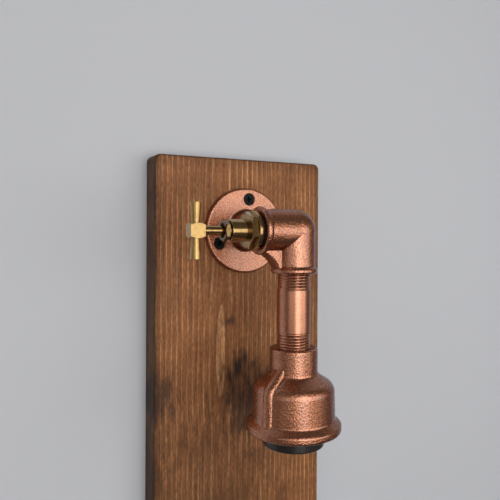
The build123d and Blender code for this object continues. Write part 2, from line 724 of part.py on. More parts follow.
def centre_contact():
    """Sprung strip under the insert's floor, riveted through it."""
    top = insert_foot
    drop = top + CONTACT_DROP
    foot = RIVET_OFFSET - RIVET_R - CONTACT_EASE
    knee = RIVET_OFFSET + RIVET_R + CONTACT_EASE
    bend = RIVET_OFFSET + CONTACT_REACH - CONTACT_EASE
    tip = RIVET_OFFSET + CONTACT_REACH + CONTACT_EASE
    upper = [(0, foot, top), (0, knee, top), (0, bend, drop), (0, tip, drop)]
    lower = [(0, tip, drop + CONTACT_T), (0, bend - CONTACT_T / 2, drop + CONTACT_T),
             (0, knee - CONTACT_T / 2, top + CONTACT_T), (0, foot, top + CONTACT_T)]
    strip = Polyline(*upper, *lower, close=True)
    body = extrude(make_face(strip), CONTACT_WIDTH / 2, both=True)
    rivet = rod(RIVET_R, insert_top, insert_foot)
    rivet += rod(RIVET_R + RIVET_HEAD, insert_top - RIVET_HEAD, insert_top)
    body += Pos(0, RIVET_OFFSET, 0) * rivet
    return drop_plane * body


def holder_skirt():
    """Lower shell of the lampholder, screwed into the cap."""
    top = insert_top + HOLDER_PLAY
    ledge = insert_rim + HOLDER_PLAY
    lip_top = skirt_foot - SKIRT_LIP_T
    lip_r = skirt_lower_r - SKIRT_LIP
    seat = cap_foot + HOLDER_PLAY
    body = turned(
        [(skirt_bore_r, top), (skirt_thread_r, top), (skirt_thread_r, seat), (HOLDER_R, seat),
         (HOLDER_R, skirt_foot), (lip_r, skirt_foot), (lip_r, lip_top), (skirt_lower_r, lip_top),
         (skirt_lower_r, ledge), (skirt_bore_r, ledge)],
        [0, 0, 0, MOULDED_EDGE, MOULDED_ROUND, MOULDED_EDGE, 0, 0, 0, 0],
    )
    return drop_plane * body


def wire(points, radii):
    """Round insulated wire along straight runs and tangent arcs."""
    route = FilletPolyline(*points, radius=radii)
    section = Plane(route @ 0, z_dir=route % 0) * Circle(WIRE_R)
    body = sweep(section, path=route)
    print(f"wire length {route.length:.1f} volume ratio {body.volume / (pi * WIRE_R**2 * route.length):.4f}")
    return body


def mains_wire(side):
    """Live or neutral wire from the terminal block to a lampholder terminal."""
    x_block = pole_xs[-1] * side
    x_pipe = WIRE_SPACING / 2 * side
    x_end = (TERMINAL_X - TERMINAL_LENGTH / 2) * side
    start_z = block_top_z - WIRE_STRIP_DEPTH
    turn_z = block_top_z + WIRE_STRAIGHT
    end_z = axis_z - wire_end_depth
    return wire(
        [(x_block, -WIRE_BACK, start_z), (x_block, -WIRE_BACK, turn_z),
         (x_pipe, -WIRE_BACK, turn_z + WIRE_SPREAD), (x_pipe, -WIRE_BACK, axis_z),
         (x_pipe, corner_y, axis_z), (x_pipe, corner_y, end_z), (x_end, corner_y, end_z)],
        [SPREAD_BEND_R, SPREAD_BEND_R, BOARD_BEND_R, ELBOW_BEND_R, TERMINAL_BEND_R],
    )


def earth_wire():
    """Earth wire from the terminal block to the tag on the lampholder's tube."""
    start_z = block_top_z - WIRE_STRIP_DEPTH
    turn_z = block_top_z + WIRE_STRAIGHT
    back_y = EARTH_OFFSET - WIRE_BACK
    pipe_z = axis_z + EARTH_OFFSET
    front_y = corner_y - EARTH_OFFSET
    return wire(
        [(0, -WIRE_BACK, start_z), (0, -WIRE_BACK, turn_z), (0, back_y, turn_z + WIRE_SPREAD),
         (0, back_y, pipe_z), (0, front_y, pipe_z), (0, front_y, axis_z - tube_top)],
        [SPREAD_BEND_R, SPREAD_BEND_R, BOARD_BEND_R + EARTH_OFFSET, ELBOW_BEND_R + EARTH_OFFSET],
    )


def terminal_block():
    """Three-pole screw terminal block on the floor of the recess."""
    width = BLOCK_POLES * BLOCK_PITCH + BLOCK_MARGIN * 2
    block = Box(width, BLOCK_DEPTH, BLOCK_HEIGHT, align=(Align.CENTER, Align.MIN, Align.CENTER))
    block = Pos(0, -POCKET_DEPTH, block_z) * block
    block = fillet(block.edges().filter_by(Axis.Y), MOULDED_ROUND)
    head_depth = -block_back + FIXING_HEAD_T
    for x in pole_xs:
        block -= Pos(x, -WIRE_BACK, block_z) * Cylinder(BLOCK_HOLE_R, BLOCK_HEIGHT)
        for z in (block_z - CLAMP_SPACING / 2, block_z + CLAMP_SPACING / 2):
            block -= from_back(CLAMP_SCREW_R + SCREW_PLAY, -block_back, WIRE_BACK, x, z)
    for x in gap_xs:
        block -= from_back(FIXING_SCREW_R + SCREW_PLAY, -block_back, POCKET_DEPTH, x, block_z)
        block -= from_back(FIXING_HEAD_R + SCREW_PLAY, -block_back, head_depth, x, block_z)
    return block


def slotted_screw(head_r, head_t, shank_r, length):
    """Screw along local Z from its slotted head at 0 to its tip."""
    screw = rod(head_r, 0, head_t)
    screw += rod(shank_r, head_t, length)
    screw -= Box(2 * head_r, SLOT_WIDTH, 2 * SLOT_DEPTH)
    return screw


def from_back_plane(x, depth, z):
    """Plane at a depth behind the board's back, with local Z towards the room."""
    return Plane((x, -depth, z), x_dir=(1, 0, 0), z_dir=(0, -1, 0))


def block_clamp_screws():
    """Six clamp screws of the terminal block."""
    screw = slotted_screw(CLAMP_SCREW_R, CLAMP_SCREW_LENGTH / 2, CLAMP_SCREW_R, CLAMP_SCREW_LENGTH)
    depth = WIRE_BACK - WIRE_R - SCREW_PLAY - CLAMP_SCREW_LENGTH
    zs = (block_z - CLAMP_SPACING / 2, block_z + CLAMP_SPACING / 2)
    return Compound([from_back_plane(x, depth, z) * screw for x in pole_xs for z in zs])


def block_fixing_screws():
    """Two wood screws that hold the terminal block to the board."""
    length = POCKET_DEPTH + FIXING_BITE + block_back
    screw = slotted_screw(FIXING_HEAD_R, FIXING_HEAD_T, FIXING_SCREW_R, length)
    return Compound([from_back_plane(x, -block_back, block_z) * screw for x in gap_xs])


def hanger_plates():
    """Two steel keyhole plates, flush with the board's back."""
    plates = []
    for x in hanger_xs:
        plate = back_outline(hanger_outline(x, 0), HANGER_T)
        plate -= from_back(KEYHOLE_R, 0, HANGER_T, x, keyhole_z)
        slot = SlotCenterToCenter(KEYHOLE_TRAVEL, KEYHOLE_SLOT, rotation=90)
        plate -= back_outline(Pos(x, keyhole_z + KEYHOLE_TRAVEL / 2) * slot, HANGER_T)
        for z in hanger_screw_zs:
            cone = turned([(0, 0), (HANGER_SCREW_HEAD_R + SCREW_PLAY, 0),
                           (HANGER_SCREW_R + SCREW_PLAY, HANGER_T), (0, HANGER_T)])
            plate -= from_back_plane(x, 0, z) * cone
        plates.append(plate)
    return Compound(plates)


def hanger_screws():
    """Four countersunk wood screws in the hanger plates."""
    screw = turned([(0, 0), (HANGER_SCREW_HEAD_R, 0), (HANGER_SCREW_R, HANGER_T),
                    (HANGER_SCREW_R, HANGER_SCREW_LENGTH), (0, HANGER_SCREW_LENGTH)])
    return Compound([from_back_plane(x, 0, z) * screw for x in hanger_xs for z in hanger_screw_zs])


parts = {
    "back_board": back_board(),
    "hanger_plates": hanger_plates(),
    "hanger_screws": hanger_screws(),
    "floor_flange": floor_flange(),
    "flange_screws": flange_screws(),
    "rear_nipple": rear_nipple(),
    "corner_elbow": corner_elbow(),
    "drop_nipple": drop_nipple(),
    "reducing_socket": reducing_socket(),
    "bonnet_washer": bonnet_washer(),
    "tap_bonnet": tap_bonnet(),
    "gland_nut": gland_nut(),
    "gland_packing": gland_packing(),
    "tap_spindle": tap_spindle(),
    "tap_jumper": tap_jumper(),
    "jumper_washer": jumper_washer(),
    "jumper_nut": jumper_nut(),
    "tap_handle": tap_handle(),
    "handle_screw": handle_screw(),
    "adapter_bush": adapter_bush(),
    "earth_tag": earth_tag(),
    "holder_locknut": holder_locknut(),
    "holder_tube": holder_tube(),
    "holder_washer": holder_washer(),
    "holder_cap": holder_cap(),
    "holder_insert": holder_insert(),
    "holder_terminals": holder_terminals(),
    "holder_terminal_screws": holder_terminal_screws(),
    "thread_sleeve": thread_sleeve(),
    "centre_contact": centre_contact(),
    "holder_skirt": holder_skirt(),
    "live_wire": mains_wire(1),
    "neutral_wire": mains_wire(-1),
    "earth_wire": earth_wire(),
    "terminal_block": terminal_block(),
    "block_clamp_screws": block_clamp_screws(),
    "block_fixing_screws": block_fixing_screws(),
}

os.makedirs("parts", exist_ok=True)
for name, solid in parts.items():
    export_step(solid, f"parts/{name}.step")
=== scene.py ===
from math import atan2, cos, floor, pi, radians, sin

import bmesh
import bpy
from mathutils import Matrix, Vector


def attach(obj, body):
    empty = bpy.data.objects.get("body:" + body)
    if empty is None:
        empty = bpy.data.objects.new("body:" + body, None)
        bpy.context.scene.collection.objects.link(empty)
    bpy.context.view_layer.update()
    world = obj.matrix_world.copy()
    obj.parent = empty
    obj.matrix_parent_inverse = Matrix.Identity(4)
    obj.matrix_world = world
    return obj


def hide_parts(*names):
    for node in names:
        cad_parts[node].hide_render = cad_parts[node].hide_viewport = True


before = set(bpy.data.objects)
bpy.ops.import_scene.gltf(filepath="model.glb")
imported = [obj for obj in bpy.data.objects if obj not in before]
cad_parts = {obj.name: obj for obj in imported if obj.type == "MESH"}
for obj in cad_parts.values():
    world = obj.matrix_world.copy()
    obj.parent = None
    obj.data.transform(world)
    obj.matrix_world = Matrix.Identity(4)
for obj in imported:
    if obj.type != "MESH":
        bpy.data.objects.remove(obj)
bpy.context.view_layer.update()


# Back board: one plain-sawn pine board with rounded corners and eased edges.
# It is brushed with brown stain, which soaks into the soft early wood and leaves the hard
# late wood of each ring as a pale line.
def linear(code):
    """The linear colour of an sRGB hex code."""
    channels = [int(code[i:i + 2], 16) / 255 for i in (1, 3, 5)]
    return [c / 12.92 if c <= 0.04045 else ((c + 0.055) / 1.055) ** 2.4 for c in channels] + [1.0]


def node(tree, kind, inputs, **settings):
    """Add a shader node, with its settings, and fill or link its inputs."""
    made = tree.nodes.new(kind)
    for name, value in settings.items():
        setattr(made, name, value)
    for name, value in inputs.items():
        if isinstance(value, bpy.types.NodeSocket):
            tree.links.new(value, made.inputs[name])
        else:
            made.inputs[name].default_value = value
    return made.outputs


def new_finish(name, constants):
    """A new material with constant values on its shader, and the piece's own coordinates."""
    material = bpy.data.materials.new(name)
    material.use_nodes = True
    tree = material.node_tree
    shader = tree.nodes["Principled BSDF"]
    for socket, value in constants.items():
        shader.inputs[socket].default_value = value
    where = node(tree, "ShaderNodeTexCoord", {})["Object"]
    return material, tree, shader, where


def dress(material, *names):
    """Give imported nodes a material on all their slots."""
    for name in names:
        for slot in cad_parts[name].material_slots:
            slot.material = material


# Stained pine shows rings 3.9 mm apart round a heart 8 mm under the face, which bows away above
# and below, so that the ring over it meets the face in one pale flame. Along the grain run fibre
# lines 1.4 mm wide and short hairs 0.9 mm wide, both drawn coarse enough to show. Two knots are
# dark and ragged. Beside the reducing socket, darker wood below the larger knot carries a painted
# shadow of the socket, the board's lower end is darkened with painted shade, and a soft dark patch
# lies at the left rim. The wood is also darker towards the board's rims, and its sides and rounded
# edges are darker, partly from stain soaking in and partly from painted shade.
RING, FLAME_EDGE = 0.0039, 0.00884
HEART = (-0.018, -0.013, 0.007)
BOW, BOW_LENGTH = 0.00084, 0.035
FIBRE, HAIR, TEAR = (700, 700, 36), (1100, 1100, 260), (250, 250, 80)  # strands to the metre
HALF_WIDTH, HALF_HEIGHT, RIM = 0.069, 0.15, 0.012
# Knots and dark patches: centre in X and Z, half width and height, lean in degrees, share, colour.
KNOTS_AND_DARK_PATCHES = (((-0.012, 0.0283), (0.0068, 0.0058), 0, 0.95, "#452B1B"),
         # Painted shadow of the reducing socket, over darker wood below the larger knot.
         ((0.010, -0.036), (0.038, 0.040), 0, 0.85, "#452C1D"),
         # A soft dark patch at the left rim.
         ((-0.066, -0.024), (0.018, 0.028), 0, 0.75, "#3A2B22"),
         # Painted shade, darkening the board towards its lower end.
         ((-0.030, -0.100), (0.10, 0.09), 0, 0.55, "#50341F"),
         # The larger knot.
         ((-0.0030, -0.007), (0.0118, 0.0185), 24, 0.95, "#35261D"))
pine, tree, shader, where = new_finish("stained_pine", {"Roughness": 0.6, "Specular IOR Level": 0.3})
sway = node(tree, "ShaderNodeTexNoise", {"Vector": where, "Scale": 1 / 0.06, "Detail": 2.0})["Color"]
sway = node(tree, "ShaderNodeVectorMath", {0: sway, 1: (0.5, 0.5, 0.5)}, operation="SUBTRACT")["Vector"]
swayed = node(tree, "ShaderNodeVectorMath", {0: sway, 1: (0.003, 0.0008, 0.0), 2: where},
              operation="MULTIPLY_ADD")["Vector"]
fibre_place = node(tree, "ShaderNodeMapping", {"Vector": swayed, "Scale": FIBRE})["Vector"]
fibre = node(tree, "ShaderNodeTexNoise", {"Vector": fibre_place, "Scale": 1.0, "Detail": 3.0})["Fac"]
hair_place = node(tree, "ShaderNodeMapping", {"Vector": swayed, "Scale": HAIR})["Vector"]
hair = node(tree, "ShaderNodeTexNoise", {"Vector": hair_place, "Scale": 1.0, "Detail": 2.0})["Fac"]
from_heart = node(tree, "ShaderNodeVectorMath", {0: swayed, 1: HEART}, operation="SUBTRACT")["Vector"]
apart = node(tree, "ShaderNodeSeparateXYZ", {"Vector": from_heart})
along = node(tree, "ShaderNodeMath", {0: apart["Z"], 1: BOW_LENGTH}, operation="DIVIDE")["Value"]
bowed = node(tree, "ShaderNodeMath", {0: along, 1: along}, operation="MULTIPLY")["Value"]
bowed = node(tree, "ShaderNodeMath", {0: bowed, 1: 2.6, 2: 1.0}, operation="SMOOTH_MIN")["Value"]
deep = node(tree, "ShaderNodeMath", {0: bowed, 1: -BOW, 2: apart["Y"]}, operation="MULTIPLY_ADD")["Value"]
across = node(tree, "ShaderNodeCombineXYZ", {"X": apart["X"], "Y": deep})["Vector"]
radius = node(tree, "ShaderNodeVectorMath", {0: across}, operation="LENGTH")["Value"]
past = node(tree, "ShaderNodeMath", {0: radius, 1: FLAME_EDGE}, operation="SUBTRACT")["Value"]
rings = node(tree, "ShaderNodeMath", {0: past, 1: RING}, operation="DIVIDE")["Value"]
feather = node(tree, "ShaderNodeMapRange", {"Value": fibre, "To Min": -0.07, "To Max": 0.07})["Result"]
feathered = node(tree, "ShaderNodeMath", {0: rings, 1: feather}, operation="ADD")["Value"]
season = node(tree, "ShaderNodeMath", {0: feathered}, operation="FRACT")["Value"]
late = node(tree, "ShaderNodeMapRange", {"Value": season, "From Min": 0.66, "From Max": 0.93},
            interpolation_type="SMOOTHSTEP")["Result"]
ends = node(tree, "ShaderNodeMapRange", {"Value": season, "From Min": 1.0, "From Max": 0.965},
            interpolation_type="SMOOTHSTEP")["Result"]
line = node(tree, "ShaderNodeMath", {0: late, 1: ends}, operation="MULTIPLY")["Value"]
patch = node(tree, "ShaderNodeTexNoise", {"Vector": where, "Scale": 1 / 0.028, "Detail": 4.0})["Fac"]
strength = node(tree, "ShaderNodeMapRange", {"Value": patch, "From Min": 0.35, "From Max": 0.65,
                                             "To Min": 0.08, "To Max": 0.62})["Result"]
in_flame = node(tree, "ShaderNodeMapRange", {"Value": radius, "From Min": 0.009, "From Max": 0.011,
                                             "To Min": 0.6, "To Max": 0.0})["Result"]
strength = node(tree, "ShaderNodeMath", {0: strength, 1: in_flame}, operation="MAXIMUM")["Value"]
pale_line = node(tree, "ShaderNodeMath", {0: line, 1: strength}, operation="MULTIPLY")["Value"]
wood = node(tree, "ShaderNodeMixRGB", {"Fac": pale_line, "Color1": linear("#9F673D"),
                                       "Color2": linear("#DAA673")})["Color"]
torn_place = node(tree, "ShaderNodeMapping", {"Vector": where, "Scale": TEAR})["Vector"]
ragged = node(tree, "ShaderNodeTexNoise", {"Vector": torn_place, "Scale": 1.0, "Detail": 3.0})["Fac"]
# Knots, dark patches, painted shade and a painted shadow are laid over the wood.
for centre, half, lean, share, shade in KNOTS_AND_DARK_PATCHES:
    moved = node(tree, "ShaderNodeVectorMath", {0: swayed, 1: (centre[0], 0, centre[1])},
                 operation="SUBTRACT")["Vector"]
    turned = node(tree, "ShaderNodeMapping", {"Vector": moved,
                                              "Rotation": (0, radians(-lean), 0)})["Vector"]
    spot_place = node(tree, "ShaderNodeVectorMath", {0: turned, 1: (1 / half[0], 0, 1 / half[1])},
                      operation="MULTIPLY")["Vector"]
    reach = node(tree, "ShaderNodeVectorMath", {0: spot_place}, operation="LENGTH")["Value"]
    torn = node(tree, "ShaderNodeMath", {0: ragged, 1: 1.6, 2: reach}, operation="MULTIPLY_ADD")["Value"]
    spot = node(tree, "ShaderNodeMapRange", {"Value": torn, "From Min": 1.85, "From Max": 0.9,
                                             "To Max": share}, interpolation_type="SMOOTHSTEP")["Result"]
    wood = node(tree, "ShaderNodeMixRGB", {"Fac": spot, "Color1": wood, "Color2": linear(shade)})["Color"]
fibre_shade = node(tree, "ShaderNodeMapRange", {"Value": fibre, "From Min": 0.36, "From Max": 0.64,
                                                "To Min": 0.76, "To Max": 1.2})["Result"]
season_shade = node(tree, "ShaderNodeMapRange", {"Value": season, "To Min": 0.9, "To Max": 1.1})["Result"]
hair_shade = node(tree, "ShaderNodeMapRange", {"Value": hair, "From Min": 0.36, "From Max": 0.64,
                                               "To Min": 0.76, "To Max": 1.22})["Result"]
patch_shade = node(tree, "ShaderNodeMapRange", {"Value": patch, "From Min": 0.3, "From Max": 0.7,
                                                "To Min": 0.86, "To Max": 1.14})["Result"]
# The board's sides and rounded edges are darker, partly from stain soaking into the sawn wood and partly
# as painted shade.
outward = node(tree, "ShaderNodeNewGeometry", {})["Normal"]
facing = node(tree, "ShaderNodeSeparateXYZ", {"Vector": outward})["Y"]
facing = node(tree, "ShaderNodeMath", {0: facing}, operation="ABSOLUTE")["Value"]
side_stain_and_shade = node(tree, "ShaderNodeMapRange", {"Value": facing, "From Min": 0.7, "From Max": 0.97,
                                               "To Min": 0.4})["Result"]
# The wood darkens towards the board's rims.
place = node(tree, "ShaderNodeSeparateXYZ", {"Vector": where})
rims = []
for axis, edge in (("X", HALF_WIDTH), ("Z", HALF_HEIGHT)):
    out = node(tree, "ShaderNodeMath", {0: place[axis]}, operation="ABSOLUTE")["Value"]
    rims.append(node(tree, "ShaderNodeMapRange", {"Value": out, "From Min": edge - RIM, "From Max": edge,
                                                  "To Min": 1.0, "To Max": 0.7},
                     interpolation_type="SMOOTHSTEP")["Result"])
for shade in (fibre_shade, hair_shade, season_shade, patch_shade, side_stain_and_shade, *rims):
    wood = node(tree, "ShaderNodeMixRGB", {"Fac": 1.0, "Color1": wood, "Color2": shade},
                blend_type="MULTIPLY")["Color"]
ridges = node(tree, "ShaderNodeBump", {"Height": fibre, "Distance": 0.00015, "Strength": 0.6})["Normal"]
tree.links.new(wood, shader.inputs["Base Color"])
tree.links.new(ridges, shader.inputs["Normal"])
dress(pine, "back_board")


# Hanger plates: two keyhole plates of pressed steel, let into the back of the board.
# Each is held by two small countersunk wood screws; all of it is zinc plated.
# Zinc plate is a pale, faintly blue metal with soft crystals about 4 mm across.
zinc, tree, shader, where = new_finish("zinc_plated_steel", {"Metallic": 1.0})
crystal = node(tree, "ShaderNodeTexVoronoi", {"Vector": where, "Scale": 1 / 0.004})["Color"]
crystal = node(tree, "ShaderNodeSeparateColor", {"Color": crystal})["Red"]
cloud = node(tree, "ShaderNodeTexNoise", {"Vector": where, "Scale": 1 / 0.0015, "Detail": 3.0})["Fac"]
mixed = node(tree, "ShaderNodeMath", {0: crystal, 1: 0.4, 2: cloud}, operation="MULTIPLY_ADD")["Value"]
gloss = node(tree, "ShaderNodeMapRange", {"Value": mixed, "From Min": 0.3, "From Max": 1.0,
                                          "To Min": 0.28, "To Max": 0.46})["Result"]
plate = node(tree, "ShaderNodeMixRGB", {"Fac": mixed, "Color1": linear("#A9AEB2"),
                                        "Color2": linear("#CBCFD0")})["Color"]
tree.links.new(plate, shader.inputs["Base Color"])
tree.links.new(gloss, shader.inputs["Roughness"])
dress(zinc, "hanger_plates", "hanger_screws")


# Terminal block: a three-pole block of natural polyamide in the pocket at the board's back.
# It is held by two wood screws, and six clamp screws hold the wires.
# Moulded polyamide is a milky off-white with a faintly mottled satin skin.
nylon, tree, shader, where = new_finish("moulded_polyamide", {"IOR": 1.53})
cloud = node(tree, "ShaderNodeTexNoise", {"Vector": where, "Scale": 1 / 0.003, "Detail": 3.0})["Fac"]
milk = node(tree, "ShaderNodeMixRGB", {"Fac": cloud, "Color1": linear("#DAD3C0"),
                                       "Color2": linear("#EEE9DB")})["Color"]
gloss = node(tree, "ShaderNodeMapRange", {"Value": cloud, "To Min": 0.36, "To Max": 0.52})["Result"]
tree.links.new(milk, shader.inputs["Base Color"])
tree.links.new(gloss, shader.inputs["Roughness"])
dress(nylon, "terminal_block")
dress(zinc, "block_clamp_screws", "block_fixing_screws")


# Wires: three single cores, 2.2 mm over their insulation, that run through the pipe.
# The insulation is extruded PVC, brown and blue, and green with a yellow stripe for earth.
# Extruded PVC has an even colour, a soft shine and faint drawn ripples about 0.8 mm apart.
for name, shade, stripe in (("live_wire", "#6A3F22", "#5E371D"), ("neutral_wire", "#2F5FA8", "#28529A"),
                            ("earth_wire", "#3F7F35", "#D9C23A")):
    sheath, tree, shader, where = new_finish("pvc_" + name, {"IOR": 1.54})
    ripple = node(tree, "ShaderNodeTexNoise", {"Vector": where, "Scale": 1 / 0.0008})["Fac"]
    sides = node(tree, "ShaderNodeSeparateXYZ", {"Vector": where})["X"]
    half = node(tree, "ShaderNodeMapRange", {"Value": sides, "From Min": 0.0002,
                                             "From Max": 0.0003})["Result"]
    colour = node(tree, "ShaderNodeMixRGB", {"Fac": half, "Color1": linear(shade),
                                             "Color2": linear(stripe)})["Color"]
    gloss = node(tree, "ShaderNodeMapRange", {"Value": ripple, "To Min": 0.32, "To Max": 0.5})["Result"]
    tree.links.new(colour, shader.inputs["Base Color"])
    tree.links.new(gloss, shader.inputs["Roughness"])
    dress(sheath, name)


# Floor flange: a cast iron flange with a threaded hub, screwed flat to the board.
# It is sand cast, with a grain of about 1 mm, and sprayed with copper-coloured metallic paint.
# The paint is a warm satin metal under a white sheen, darker where it turns away and in the pits.
def copper_paint(name, grain, depth, shine, pitted):
    """Copper paint over a grain of this width and depth, in metres; roughness, and share of dark pits."""
    material, tree, shader, where = new_finish(
        name, {"Metallic": 1.0, "Coat Weight": 0.9, "Coat Roughness": 0.25, "Coat IOR": 1.75,
               "Specular Tint": linear("#5E3424")})
    grit = node(tree, "ShaderNodeTexNoise",
                {"Vector": where, "Scale": 1 / grain, "Detail": 2.0, "Roughness": 0.5})["Fac"]
    pits = node(tree, "ShaderNodeMapRange", {"Value": grit, "From Min": 0.34, "From Max": 0.47,
                                             "To Min": 1 - pitted, "To Max": 1.0})["Result"]
    cloud = node(tree, "ShaderNodeTexNoise", {"Vector": where, "Scale": 1 / 0.011, "Detail": 3.0})["Fac"]
    paint = node(tree, "ShaderNodeMixRGB", {"Fac": cloud, "Color1": linear("#B36A47"),
                                            "Color2": linear("#CC875E")})["Color"]
    paint = node(tree, "ShaderNodeMixRGB", {"Fac": pits, "Color1": linear("#5E3626"),
                                            "Color2": paint})["Color"]
    gloss = node(tree, "ShaderNodeMapRange", {"Value": grit, "From Min": 0.3, "From Max": 0.7,
                                              "To Min": shine + 0.1, "To Max": shine - 0.03})["Result"]
    bump = node(tree, "ShaderNodeBump", {"Height": grit, "Distance": depth, "Strength": 1.0})["Normal"]
    tree.links.new(paint, shader.inputs["Base Color"])
    tree.links.new(gloss, shader.inputs["Roughness"])
    tree.links.new(bump, shader.inputs["Normal"])
    return material


cast_copper = copper_paint("copper_paint_on_cast_iron", 0.0010, 0.00036, 0.25, 0.6)
dress(cast_copper, "floor_flange")


# Flange screws: three countersunk wood screws with cross recesses, driven into the board.
# They are steel, blackened with phosphate, so they are nearly matte with a dull grey sheen.
# Its crystals are too fine to show, so they are drawn 0.4 mm wide.
def new_piece(name, bm, material, replaced=None):
    """Turn a finished bmesh into a smooth piece of the lamp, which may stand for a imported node."""
    bmesh.ops.remove_doubles(bm, verts=bm.verts, dist=1e-6)
    bmesh.ops.recalc_face_normals(bm, faces=bm.faces)
    for face in bm.faces:
        face.smooth = True
    for edge in bm.edges:
        edge.smooth = edge.calc_face_angle(0.0) < radians(32)
    mesh = bpy.data.meshes.new(name)
    bm.to_mesh(mesh)
    bm.free()
    piece = bpy.data.objects.new(name, mesh)
    bpy.context.scene.collection.objects.link(piece)
    mesh.materials.append(material)
    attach(piece, "lamp")
    if replaced:
        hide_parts(replaced)


def verts_of(made):
    """The vertices among what an operator made."""
    return [v for v in made if isinstance(v, bmesh.types.BMVert)]


black, tree, shader, where = new_finish("black_phosphate_steel", {"Metallic": 0.6})
scale = node(tree, "ShaderNodeTexNoise", {"Vector": where, "Scale": 1 / 0.0004, "Detail": 3.0})["Fac"]
soot = node(tree, "ShaderNodeMixRGB", {"Fac": scale, "Color1": linear("#050607"),
                                       "Color2": linear("#15171A")})["Color"]
gloss = node(tree, "ShaderNodeMapRange", {"Value": scale, "To Min": 0.4, "To Max": 0.65})["Result"]
tree.links.new(soot, shader.inputs["Base Color"])
tree.links.new(gloss, shader.inputs["Roughness"])

AXIS_HEIGHT = 0.096
HEAD_FACE, HEAD_R, HEAD_DEPTH = -0.025, 0.0044, 0.0022
SHANK_R, SHANK_END, TIP_END, TIP_SHARE = 0.0022, 0.017, 0.020, 0.08
ARM_WIDTH, ARM_LENGTH, RECESS_DEPTH, RECESS_TAPER = 0.0006, 0.0025, 0.0022, 0.45
SCREW_CIRCLE = 0.0235
screws = bmesh.new()
for angle, turn in ((84, 12), (204, 55), (324, 31)):
    one = bmesh.new()
    bmesh.ops.create_circle(one, cap_ends=True, segments=48, radius=HEAD_R)
    for side in (Vector((1, 0, 0)), Vector((0, 1, 0))):
        for offset in (ARM_WIDTH, -ARM_WIDTH, ARM_LENGTH, -ARM_LENGTH):
            bmesh.ops.bisect_plane(one, geom=list(one.verts) + list(one.edges) + list(one.faces),
                                   plane_co=side * offset, plane_no=side)
    cross = []
    for face in one.faces:
        x, y = (abs(v) for v in face.calc_center_median()[:2])
        if min(x, y) < ARM_WIDTH and max(x, y) < ARM_LENGTH:
            cross.append(face)
    sunk = verts_of(bmesh.ops.extrude_face_region(one, geom=cross)["geom"])
    bmesh.ops.delete(one, geom=cross, context="FACES")
    bmesh.ops.scale(one, vec=(RECESS_TAPER, RECESS_TAPER, 1), verts=sunk)
    bmesh.ops.translate(one, vec=(0, 0, -RECESS_DEPTH), verts=sunk)
    rim = [e for e in one.edges if e.is_boundary]
    for radius_share, depth in ((SHANK_R / HEAD_R, HEAD_DEPTH), (1.0, SHANK_END - HEAD_DEPTH),
                                (TIP_SHARE, TIP_END - SHANK_END)):
        grown = bmesh.ops.extrude_edge_only(one, edges=rim)["geom"]
        verts = verts_of(grown)
        rim = [e for e in grown if isinstance(e, bmesh.types.BMEdge) and e.is_boundary]
        bmesh.ops.scale(one, vec=(radius_share, radius_share, 1), verts=verts)
        bmesh.ops.translate(one, vec=(0, 0, -depth), verts=verts)
    bmesh.ops.holes_fill(one, edges=rim)
    spot = Matrix.Translation((SCREW_CIRCLE * cos(radians(angle)), HEAD_FACE,
                               AXIS_HEIGHT + SCREW_CIRCLE * sin(radians(angle))))
    driven = Matrix.Rotation(radians(90), 4, "X") @ Matrix.Rotation(radians(turn), 4, "Z")
    bmesh.ops.transform(one, verts=one.verts, matrix=spot @ driven)
    part_mesh = bpy.data.meshes.new("one_screw")
    one.to_mesh(part_mesh)
    one.free()
    screws.from_mesh(part_mesh)
    bpy.data.meshes.remove(part_mesh)
new_piece("flange_screws_black", screws, black, "flange_screws")


# Rear nipple: a short half-inch steel pipe that carries the whole lamp from the flange's hub.
# Both ends have a tapered pipe thread, of which a few turns show, and its drawn skin is much
# smoother than the castings. It is painted copper after assembly.
pipe_copper = copper_paint("copper_paint_on_drawn_pipe", 0.0006, 0.00003, 0.27, 0.12)
PITCH = 0.001814
PIPE_R, BORE_R = 0.01065, 0.008
THREAD_CREST, THREAD_ROOT, THREAD_HIDDEN = 0.01045, 0.01003, 0.0098
COVERED, LEAD_IN, RUN_OUT, FLAT_CREST = 0.0012, 0.0009, 0.0022, 1.25
RING_STEP = 0.00013


